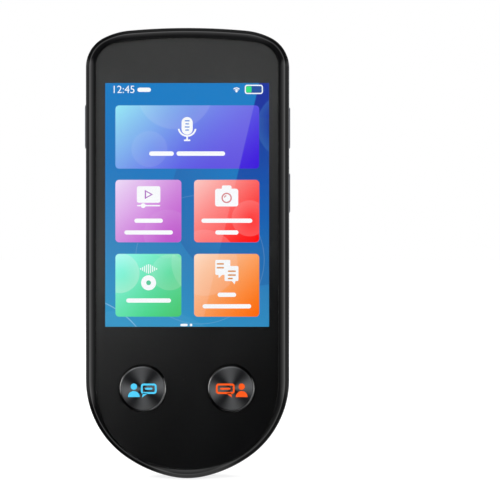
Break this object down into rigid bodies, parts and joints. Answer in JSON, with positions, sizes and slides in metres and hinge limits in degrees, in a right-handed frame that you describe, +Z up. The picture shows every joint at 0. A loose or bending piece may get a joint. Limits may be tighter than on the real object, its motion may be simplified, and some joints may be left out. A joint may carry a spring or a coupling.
{
  "type": "handheld translator",
  "caption": "Slim handheld voice translator with rounded case, colour display under glass, round talk buttons, edge keys, rear camera and drilled speaker grille.",
  "frame": {"origin": "on the flat back face, at the middle of the case's width and height", "axes": "+Z up towards the camera end, +Y out of the back face, the display looks along -Y, +X towards the volume keys"},
  "size_m": [0.0539, 0.0138, 0.1178],
  "materials": {
    "shell": "satin",
    "edge_keys": "satin",
    "frame_black": "gloss",
    "cover_glass": "polished",
    "display": "lit",
    "backlight": "satin",
    "talk_metal": "spun",
    "plungers": "matte",
    "switches": "matte",
    "camera_metal": "polished",
    "camera_glass": "polished",
    "lens_ring": "gloss",
    "lens": "polished",
    "camera_body": "matte",
    "chassis": "cast",
    "adhesive": "matte",
    "foam": "matte",
    "speaker_plastic": "matte",
    "cone": "matte",
    "magnet": "plated",
    "mesh": "woven",
    "boards": "satin",
    "chips": "matte",
    "shield": "satin",
    "screws": "satin",
    "socket": "satin",
    "flex": "satin",
    "battery_wrap": "satin"
  },
  "bodies": {
    "housing": {"back_cover": "shell", "battery": "battery_wrap", "battery_lead": "flex", "battery_plug": "chips", "battery_tape": "adhesive", "board_chips": "chips", "board_flex": "flex", "board_screws": "screws", "camera_gasket": "foam", "camera_lens": "lens", "camera_module": "camera_body", "camera_ring": "camera_metal", "camera_window": "camera_glass", "cover_glass": "cover_glass", "display_backlight": "backlight", "display_flex": "flex", "display_panel": "display", "dust_mesh": "mesh", "front_frame": "frame_black", "glass_adhesive": "adhesive", "key_switches": "switches", "lens_ring": "lens_ring", "main_board": "boards", "microphones": "shield", "mid_frame": "chassis", "power_key_flex": "flex", "shield_cans": "shield", "side_key_flex": "flex", "speaker_cone": "cone", "speaker_frame": "speaker_plastic", "speaker_gasket": "foam", "speaker_magnet": "magnet", "speaker_pad": "foam", "sub_board": "boards", "talk_switches": "switches", "usb_port": "socket", "volume_key_flex": "flex", "wifi_antenna": "flex"},
    "talk_left": {"talk_button_left": "talk_metal", "talk_plunger_left": "plungers"},
    "talk_right": {"talk_button_right": "talk_metal", "talk_plunger_right": "plungers"},
    "side_press": {"side_key": "edge_keys", "side_key_plunger": "plungers"},
    "volume_up": {"volume_up_key": "edge_keys", "volume_up_key_plunger": "plungers"},
    "volume_down": {"volume_down_key": "edge_keys", "volume_down_key_plunger": "plungers"},
    "power": {"power_key": "edge_keys", "power_key_plunger": "plungers"}
  },
  "joints": [
    {"name": "talk_left_press", "type": "slide", "parent": "housing", "child": "talk_left", "axis": [0, 1, 0], "range_m": [0, 0.00045], "stiffness_N_per_m": 2000, "springref_m": -0.0001},
    {"name": "talk_right_press", "type": "slide", "parent": "housing", "child": "talk_right", "axis": [0, 1, 0], "range_m": [0, 0.00045], "stiffness_N_per_m": 2000, "springref_m": -0.0001},
    {"name": "side_key_press", "type": "slide", "parent": "housing", "child": "side_press", "axis": [1, 0, 0], "range_m": [0, 0.0003], "stiffness_N_per_m": 2000, "springref_m": -0.0001},
    {"name": "volume_up_press", "type": "slide", "parent": "housing", "child": "volume_up", "axis": [-1, 0, 0], "range_m": [0, 0.0003], "stiffness_N_per_m": 2000, "springref_m": -0.0001},
    {"name": "volume_down_press", "type": "slide", "parent": "housing", "child": "volume_down", "axis": [-1, 0, 0], "range_m": [0, 0.0003], "stiffness_N_per_m": 2000, "springref_m": -0.0001},
    {"name": "power_key_press", "type": "slide", "parent": "housing", "child": "power", "axis": [0, 0, -1], "range_m": [0, 0.0003], "stiffness_N_per_m": 2000, "springref_m": -0.0001}
  ]
}
